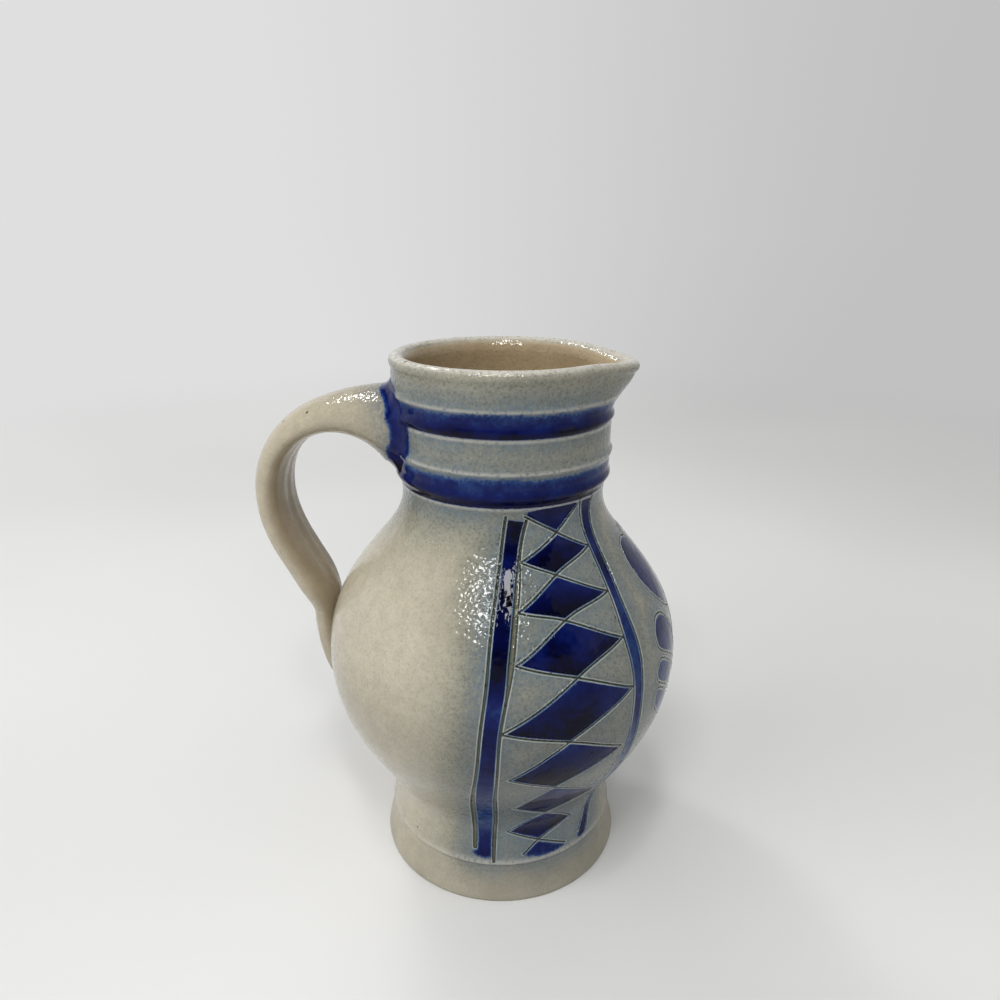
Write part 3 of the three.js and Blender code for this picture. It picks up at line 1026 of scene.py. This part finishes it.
def root_depth_of_cobalt(points):
    """The cobalt is darkest, nearly black, towards the lower end of the root."""
    return lerp(1.1, 0.62, smoothstep(points[:, 2], ROOT_HEIGHT - 12, ROOT_HEIGHT - 6))


def near_root_fields(points, crease):
    """Cobalt on the handle and its lutes, which the brush left round the root."""
    _, distance = nearest_in(tree_of(crease), points)
    ragged = 0.4 * unevenness(points, 7.0, 7)
    on_wall_side = 1 - smoothstep(wall_distance(points), 0.2, ROOT_FILLET * 0.8)
    reach = lerp(ROOT_BLUE_ON_HANDLE, ROOT_BLUE_ON_WALL, on_wall_side)
    return {
        "cobalt": reach + ragged - distance,
        "depth": root_depth_of_cobalt(points),
        "soft": 1.0,
        "line": FAR_FROM_LINES,
        "inside": 0.0,
        "pale": 0.0,
        "brown_and_shade": hand_side(points),
    }


# Materials


class Look:
    """A material or a world whose nodes are added one by one."""

    def __init__(self, owner):
        self.owner = owner
        owner.use_nodes = True
        self.tree = owner.node_tree
        self.tree.nodes.clear()

    def node(self, kind, inputs=None, **settings):
        made = self.tree.nodes.new("ShaderNode" + kind)
        for name, value in settings.items():
            setattr(made, name, value)
        for name, value in (inputs or {}).items():
            self.feed(made.inputs[name], value)
        return made

    def add(self, kind, inputs=None, output=0, **settings):
        return self.node(kind, inputs, **settings).outputs[output]

    def feed(self, socket, value):
        if isinstance(value, bpy.types.NodeSocket):
            self.tree.links.new(value, socket)
        elif isinstance(value, tuple) and socket.type == "RGBA":
            socket.default_value = (*value, 1.0)
        else:
            socket.default_value = value

    def close(self, shader, output="OutputMaterial"):
        self.node(output, {"Surface": shader})
        return self.owner

    def attribute(self, name):
        return self.add("Attribute", output="Fac", attribute_name=name)

    def math(self, operation, first, second=0.0, third=0.0):
        return self.add("Math", {0: first, 1: second, 2: third}, operation=operation)

    def step(self, value, low, high, start=0.0, end=1.0):
        """A value as it passes from low to high, eased at both ends."""
        inputs = {"Value": value, "From Min": low, "From Max": high, "To Min": start, "To Max": end}
        return self.add("MapRange", inputs, interpolation_type="SMOOTHSTEP")

    def mix(self, share, first, second):
        return self.add("Mix", {0: share, 6: first, 7: second}, output=2, data_type="RGBA")

    def times(self, colour, share):
        return self.add("VectorMath", {0: colour, 3: share}, operation="SCALE")

    def grain(self, where, size, detail=2.0, roughness=0.5):
        """Even noise whose bumps stand about a size in millimetres apart."""
        scale = 1.5 / (size * MM)
        inputs = {"Vector": where, "Scale": scale, "Detail": detail, "Roughness": roughness}
        return self.add("TexNoise", inputs)

    def spread(self, noise, amount):
        """Noise turned into a value that swings by about an amount to both sides of zero."""
        return self.math("MULTIPLY", self.math("MULTIPLY_ADD", noise, 4.0, -2.0), amount)

    def pits(self, where, size):
        """Round pits a size in millimetres apart: 0 in their middles, towards 1 on the net between."""
        swirl = {"Vector": where, "Scale": 0.7 / (size * MM), "Detail": 0.0}
        bent = self.times(self.add("TexNoise", swirl, output="Color"), 1.1 * size * MM)
        place = self.add("VectorMath", {0: where, 1: bent}, operation="ADD")
        inputs = {"Vector": place, "Scale": 1 / (size * MM), "Smoothness": 0.22, "Randomness": 0.95}
        return self.add("TexVoronoi", inputs, feature="SMOOTH_F1")

    def ramp(self, value, stops):
        node = self.node("ValToRGB", {0: value})
        ramp = node.color_ramp
        while len(ramp.elements) < len(stops):
            ramp.elements.new(0.5)
        for element, (position, colour) in zip(ramp.elements, stops):
            element.position = position
            element.color = (*colour, 1.0)
        return node.outputs[0]


PIT_SPACING = 1.25
CLAY_TONES = [  # from clay far from the cobalt to clay right beside it
    (0.0, (0.455, 0.415, 0.32)),
    (0.45, (0.365, 0.342, 0.265)),
    (0.75, (0.245, 0.24, 0.19)),
    (1.0, (0.18, 0.185, 0.15)),
]
PALE_GLAZE_AND_HIGHLIGHT = (0.55, 0.525, 0.465)
CLAY_BROWNED_AND_SHADED = (0.34, 0.275, 0.185)
CLAY_BROWN = (0.29, 0.26, 0.205)
CLAY_TAN = (0.335, 0.255, 0.152)
GLAZE_BLUISH = (0.12, 0.163, 0.20)
GROOVE_SHADE = (0.03, 0.034, 0.026)
GROOVE_OLIVE = (0.13, 0.13, 0.09)
BURR_PALE = (0.36, 0.40, 0.37)
BURR_BLUE = (0.14, 0.22, 0.32)
IRON_SPECK = (0.04, 0.025, 0.02)
COBALT_TONES = [
    (0.0, (0.09, 0.14, 0.24)),
    (0.28, (0.014, 0.042, 0.15)),
    (0.55, (0.003, 0.009, 0.085)),
    (0.8, (0.001, 0.003, 0.045)),
    (1.0, (0.0008, 0.001, 0.010)),
]


def clay_colour(look, where, cobalt, soft, warmth, peel):
    """Warm clay away from the cobalt, greyer near it, with a bluish bloom right beside it."""
    near = look.math("MULTIPLY_ADD", cobalt, 1 / COBALT_REACH, 1.0)
    near = look.math("ADD", near, look.spread(look.grain(where, 50.0, 2.0), 0.10))
    near = look.math("MULTIPLY", look.step(near, -0.1, 1.1), 1 - warmth)
    clay = look.ramp(near, CLAY_TONES)
    pits = look.step(near, 0.35, 1.0, 0.965, 0.72)
    clay = look.times(clay, look.step(peel, 0.08, 0.6, pits, 1.07))
    dust = look.spread(look.grain(where, 0.75, 2.0, 0.7), look.step(near, 0.2, 1.0, 0.10, 0.26))
    clay = look.times(clay, look.math("ADD", dust, 1.0))
    speckled = look.step(look.grain(where, 1.7, 3.0, 0.65), 0.36, 0.62, 0.3, 1.0)
    clouds = look.step(look.grain(where, 34.0, 2.0), 0.36, 0.62, 0.45, 1.0)
    halo = look.step(cobalt, look.step(soft, 0.0, 1.0, -0.9, -2.2), 0.2, 0.0, 0.5)
    bloom = look.math("MULTIPLY_ADD", look.step(cobalt, -9.0, -1.0, 0.0, 0.85), clouds, halo)
    return look.mix(look.math("MULTIPLY", bloom, speckled), clay, GLAZE_BLUISH)


def iron_specks(look, where, clay):
    cells = look.node("TexVoronoi", {"Vector": where, "Scale": 120.0})
    chosen = look.add("SeparateColor", {0: cells.outputs["Color"]})
    size = look.step(chosen, 0.7, 1.0, -0.02, 0.07)
    edge = look.math("SUBTRACT", size, cells.outputs["Distance"])
    return look.mix(look.step(edge, -0.012, 0.012, 0.0, 0.85), clay, IRON_SPECK)


def cobalt_colour(look, where, edge, soft):
    """From thin pale blue, also along each edge, to nearly black where the cobalt lies thick."""
    wash = look.spread(look.grain(where, 16.0, 2.0), 0.22)
    strokes = look.spread(look.grain(where, 3.0, 3.0, 0.65), 0.13)
    tone = look.math("ADD", look.math("ADD", wash, strokes), look.attribute("depth"))
    fringe = look.step(soft, 0.0, 1.0, 0.35, 2.0)
    tone = look.math("MULTIPLY", tone, look.step(edge, -0.1, fringe, 0.3, 1.0))
    return look.ramp(tone, COBALT_TONES)


def incised_colour(look, line, painted, colour):
    """A cut darkened near its walls with painted shade, with an olive floor where it is wide, and a pale
    burr on both its sides.
    """
    burr = look.mix(painted, BURR_PALE, BURR_BLUE)
    from_crest = look.math("ABSOLUTE", look.math("SUBTRACT", line, BURR_OFFSET))
    colour = look.mix(look.step(from_crest, 0.26, 0.03, 0.0, 0.85), colour, burr)
    # Painted shade, near black, inside the cut, giving way to the olive floor in the middle of a wide
    # cut.
    floor = look.mix(look.step(line, -0.25, -0.55), GROOVE_SHADE, GROOVE_OLIVE)
    return look.mix(look.step(line, 0.09, -0.07, 0.0, 0.95), colour, floor)


def glaze(name, warmth, peel_height, roughness):
    """Salt glaze over grey stoneware, with glossy cobalt where the cobalt attribute says so."""
    look = Look(bpy.data.materials.new(name))
    where = look.add("TexCoord", output="Object")
    cobalt, soft = look.attribute("cobalt"), look.attribute("soft")
    height = look.math("DIVIDE", look.add("SeparateXYZ", {0: where}, output="Z"), MM)
    peel = look.pits(where, PIT_SPACING)

    clay = clay_colour(look, where, cobalt, soft, warmth, peel)
    foot = look.step(height, 22, 1)
    patches = look.step(look.grain(where, 30.0), 0.3, 0.7, 0.3, 0.75)
    clay = look.mix(look.math("MULTIPLY", foot, patches), clay, CLAY_BROWN)
    # Painted shade: the clay is darkened from about 92 mm down, most between 40 and 68 mm, and eased back
    # towards the foot.
    painted_shade_low_belly = look.step(height, 68, 92, 0.78, 0.98)
    painted_shade_eased_over_foot = look.step(height, 40, 22, 0.0, 0.22)
    clay = look.times(clay, look.math("ADD", painted_shade_low_belly, painted_shade_eased_over_foot))
    low_down = look.step(height, 64, 34, 0.0, 0.34)
    drained = look.math("MULTIPLY", look.step(cobalt, -10.0, -1.5), low_down)
    clay = look.mix(drained, clay, GLAZE_BLUISH)
    # Browner clay on the handle and its lutes, deepened into painted shade on the strap's side that faces
    # the body.
    clay = look.mix(look.attribute("brown_and_shade"), clay, CLAY_BROWNED_AND_SHADED)
    # Paler clay on the rim, the ribs' crests and the foot's ring: thin glaze there, with a painted
    # highlight on it.
    thinned_and_highlit = look.math("MULTIPLY", look.attribute("pale"), look.step(peel, 0.1, 0.5, 0.35, 0.95))
    clay = look.mix(thinned_and_highlit, clay, PALE_GLAZE_AND_HIGHLIGHT)
    tan = look.times(CLAY_TAN, look.step(peel, 0.05, 0.5, 0.88, 1.04))
    clay = look.mix(look.attribute("inside"), clay, tan)
    clay = look.times(clay, look.step(look.grain(where, 6.0, 3.0, 0.6), 0.3, 0.7, 0.94, 1.05))
    clay = iron_specks(look, where, clay)

    ragged = look.step(soft, 0.0, 1.0, 0.4, 2.6)
    drift = look.math("SUBTRACT", look.grain(where, 1.5, 3.0, 0.7), 0.5)
    edge = look.math("MULTIPLY_ADD", drift, ragged, cobalt)
    blur = look.math("MULTIPLY", soft, 0.45)
    painted = look.step(edge, look.math("SUBTRACT", -0.1, blur), look.math("ADD", 0.14, blur))
    colour = look.mix(painted, clay, cobalt_colour(look, where, edge, soft))
    colour = incised_colour(look, look.attribute("line"), painted, colour)

    by_cobalt = look.step(cobalt, -28.0, -4.0, 0.5, 1.0)
    grained = look.math("MULTIPLY", by_cobalt, look.step(foot, 0.9, 0.0, 0.3, 1.0))
    share = look.step(painted, 0.0, 1.0, grained, 0.04)
    flow = look.math("MULTIPLY", look.grain(where, 5.0, 1.0), painted)
    relief = look.math("MULTIPLY_ADD", peel, share, flow)
    bump = {"Distance": peel_height * MM, "Height": relief}
    gloss = look.step(foot, 0.0, 1.0, roughness, 0.36)
    shader = look.add("BsdfPrincipled", {
        "Base Color": colour,
        "Roughness": look.math("MULTIPLY", gloss, look.step(painted, 0.0, 1.0, 1.0, 0.5)),
        "Normal": look.add("Bump", bump),
        "Specular IOR Level": look.step(painted, 0.0, 1.0, 0.42, 0.15),
    })
    return look.close(shader)


def seen_or_mirrored(look):
    """1 for what the camera sees, also in reflections and through glass."""
    path = look.node("LightPath")
    mirrored = look.math("MAXIMUM", path.outputs["Is Glossy Ray"], path.outputs["Is Transmission Ray"])
    return look.math("MAXIMUM", path.outputs["Is Camera Ray"], mirrored)


def backdrop_strength(look, direction):
    """The pale walls are brighter towards the window on the left."""
    across = look.add("SeparateXYZ", {0: direction}, output="X")
    return look.step(across, -0.45, 0.45, BACKGROUND_LEFT, BACKGROUND_RIGHT)


def paper(name, colour):
    """Pale paper near the pitcher, which fades into the pale background further out."""
    look = Look(bpy.data.materials.new(name))
    where = look.add("TexCoord", output="Object")
    # Painted shade of soft cloth folds, as broad patches a little lighter and darker in the paper's
    # colour.
    painted_fold_shade = look.step(look.grain(where, 400.0, 1.0, 0.4), 0.3, 0.7, 0.97, 1.03)
    shader = look.add("BsdfPrincipled", {
        "Base Color": look.times(colour, painted_fold_shade),
        "Roughness": 0.9,
        "Specular IOR Level": 0.1,
    })
    direction = look.add("VectorMath", {0: where}, operation="NORMALIZE")
    strength = backdrop_strength(look, direction)
    backdrop = look.add("Emission", {"Strength": strength})
    distance = look.add("VectorMath", {0: where}, output="Value", operation="LENGTH")
    share = look.math("MULTIPLY", look.step(distance, 0.32, 1.0), seen_or_mirrored(look))
    return look.close(look.add("MixShader", {0: share, 1: shader, 2: backdrop}))


# Studio

BACKGROUND_LEFT = 0.74
BACKGROUND_RIGHT = 0.53
DARK_CEILING = 0.07
STUDIO_LIGHT = 0.16
PAPER_WHITE = (0.70, 0.70, 0.69)
FLOOR_HALF = 8.0
LAMP_AIM = Vector((0, 0, 0.09))
CAMERA_AZIMUTH = 5.0
CAMERA_PITCH = 19.74
CAMERA_ROLL = 0.41
CAMERA_DISTANCE = 233.26
CAMERA_HEIGHT = 206.65
CAMERA_LENS = 28.08
CAMERA_SHIFT = -0.00282


def place_camera():
    data = bpy.data.cameras.new("view")
    data.lens = CAMERA_LENS
    data.shift_x = CAMERA_SHIFT
    data.clip_start = 0.01
    camera = bpy.data.objects.new("view", data)
    turn = math.radians(CAMERA_AZIMUTH)
    across, away = CAMERA_DISTANCE * math.sin(turn), CAMERA_DISTANCE * math.cos(turn)
    camera.matrix_world = (
        Matrix.Translation(Vector((across, -away, CAMERA_HEIGHT)) * MM)
        @ Matrix.Rotation(turn, 4, "Z")
        @ Matrix.Rotation(math.radians(90 - CAMERA_PITCH), 4, "X")
        @ Matrix.Rotation(math.radians(CAMERA_ROLL), 4, "Z")
    )
    bpy.context.scene.collection.objects.link(camera)
    bpy.context.scene.camera = camera


def softbox(name, azimuth, elevation, distance, width, tall, power, mirrored):
    """A soft lamp that faces the belly, from an azimuth to the right of the camera."""
    data = bpy.data.lights.new(name, "AREA")
    data.shape = "RECTANGLE"
    data.size, data.size_y = width, tall
    data.energy = power
    lamp = bpy.data.objects.new(name, data)
    turn, rise = math.radians(azimuth + CAMERA_AZIMUTH), math.radians(elevation)
    level = math.cos(rise)
    direction = Vector((math.sin(turn) * level, -math.cos(turn) * level, math.sin(rise)))
    lamp.location = LAMP_AIM + direction * distance
    lamp.rotation_euler = direction.to_track_quat("Z", "Y").to_euler()
    lamp.visible_glossy = mirrored
    bpy.context.scene.collection.objects.link(lamp)


def lay_floor():
    bm = bmesh.new()
    bmesh.ops.create_grid(bm, x_segments=4, y_segments=4, size=FLOOR_HALF)
    mesh = bpy.data.meshes.new("studio_floor")
    bm.to_mesh(mesh)
    bm.free()
    floor = bpy.data.objects.new("studio_floor", mesh)
    mesh.materials.append(paper("pale_paper", PAPER_WHITE))
    bpy.context.scene.collection.objects.link(floor)


def light_world():
    """An even, dim studio, whose walls look pale up to the height of the softboxes."""
    look = Look(bpy.data.worlds.new("studio"))
    direction = look.add("TexCoord", output="Generated")
    rise = look.add("SeparateXYZ", {0: direction}, output="Z")
    pale = backdrop_strength(look, direction)
    path = look.node("LightPath")
    ceiling = look.step(path.outputs["Is Camera Ray"], 0.0, 1.0, DARK_CEILING, pale)
    wall = look.step(rise, 0.30, 0.48, pale, ceiling)
    above = look.math("SUBTRACT", wall, STUDIO_LIGHT)
    lit = look.math("MULTIPLY_ADD", above, seen_or_mirrored(look), STUDIO_LIGHT)
    background = look.add("Background", {"Color": (1.0, 1.0, 1.0), "Strength": lit})
    bpy.context.scene.world = look.close(background, "OutputWorld")


# Name, azimuth, elevation, distance in metres, width, height, power and whether the glaze mirrors it
LAMPS = [
    ("window_left", -64, 31, 1.5, 1.1, 1.1, 9.2, False),
    ("window_front", -18, 50, 1.3, 0.3, 0.2, 4.6, True),
    ("window_narrow", 9, 51, 1.3, 0.12, 0.2, 2.2, True),
    ("window_above", -10, 72, 1.3, 0.14, 0.2, 2.2, True),
    ("light_above", 10, 80, 1.5, 1.5, 1.5, 3.6, False),
    ("fill_right", 84, 35, 1.8, 1.8, 1.2, 2.8, True),
    ("fill_back", -152, 42, 2.0, 1.2, 1.2, 9, False),
    ("window_far", -140, 50, 1.4, 0.18, 0.18, 2.6, True),
]

# Name, material slot, node, and its glaze's name, warmth, grain height and roughness
PIECES = [
    ("stoneware_body", "salt_glazed_stoneware", "thrown_body", ("salt_glaze_and_cobalt", 0.0, 0.14, 0.1)),
    ("strap_handle", "salt_glazed_handle", "pulled_handle", ("salt_glaze_on_handle", 0.4, 0.16, 0.13)),
    ("root_lute", "cobalt_painted_lute", "upper_handle_lute", ("cobalt_on_root", 0.2, 0.15, 0.12)),
    ("tail_lute", "salt_glazed_lute", "lower_handle_lute", ("salt_glaze_on_tail", 0.55, 0.15, 0.2)),
]

bpy.context.scene.view_settings.view_transform = "Standard"
place_camera()
lay_floor()
light_world()
for lamp in LAMPS:
    softbox(*lamp)

ornament = Ornament()
draw_strip(
    ornament, STRIPE_BACK, STRIPE_END, STRIPE_FRONT, STRIPE_HALVES, STRIPE_MARGIN, STRIPE_DEPTHS
)
draw_strip(
    ornament, BORDER_BACK, BORDER_END, BORDER_FRONT, BORDER_HALVES, FIELD_MARGIN, BORDER_DEPTHS
)
draw_diamond_chain(ornament)
draw_plant(ornament)
incised = IncisedLines(ornament.lines)
crease = root_crease()

pulled = build_handle()
strap_tree = BVHTree.FromBMesh(pulled)
root_bead = build_lute(crease, ROOT_FILLET, strap_tree)
tail_bead = build_lute(tail_crease(), TAIL_FILLET, strap_tree)
thrown = build_body(incised)

meshes = [thrown, pulled, root_bead, tail_bead]
fields = [finish_body(thrown, incised, ornament, crease)]
fields += [near_root_fields(coordinates(bm.verts), crease) for bm in meshes[1:]]
for (name, slot, node, glazing), bm, values in zip(PIECES, meshes, fields):
    mesh_object(name, bm, node, glazing, values)
